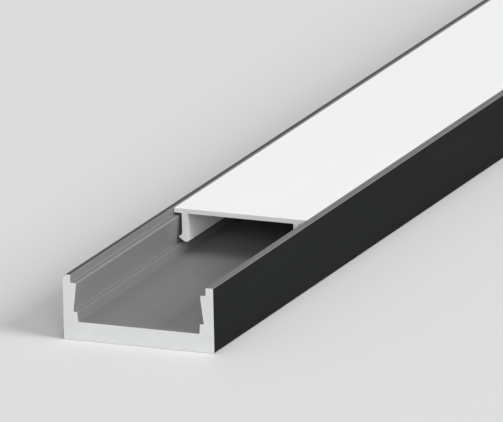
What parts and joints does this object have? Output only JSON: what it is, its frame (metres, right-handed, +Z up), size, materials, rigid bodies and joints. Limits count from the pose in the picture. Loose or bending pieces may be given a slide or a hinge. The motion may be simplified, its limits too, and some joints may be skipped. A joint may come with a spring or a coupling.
{
  "type": "led strip aluminium profile",
  "caption": "Low U-shaped aluminium channel for an LED strip, with a rebate and snap ridge along each wall and a white opal cover that clicks in and slides along it.",
  "frame": {"origin": "centre of the channel's underside, halfway along its length", "axes": "+Y along the channel, from the end where the cover is drawn back towards the far end; +Z up, out of the channel's open side; +X across it"},
  "size_m": [0.017, 0.327, 0.007],
  "materials": {
    "anodised_aluminium": "satin silver anodised extrusion with fine lines along its length and bright saw-cut ends",
    "opal_plastic": "milky white translucent polycarbonate with a soft sheen"
  },
  "bodies": {
    "channel": {"channel": "anodised_aluminium"},
    "cover": {"diffuser_cover": "opal_plastic"}
  },
  "joints": [
    {"name": "cover_slide", "type": "slide", "parent": "channel", "child": "cover", "axis": [0, 1, 0], "range_m": [-0.027, 0.233]}
  ]
}
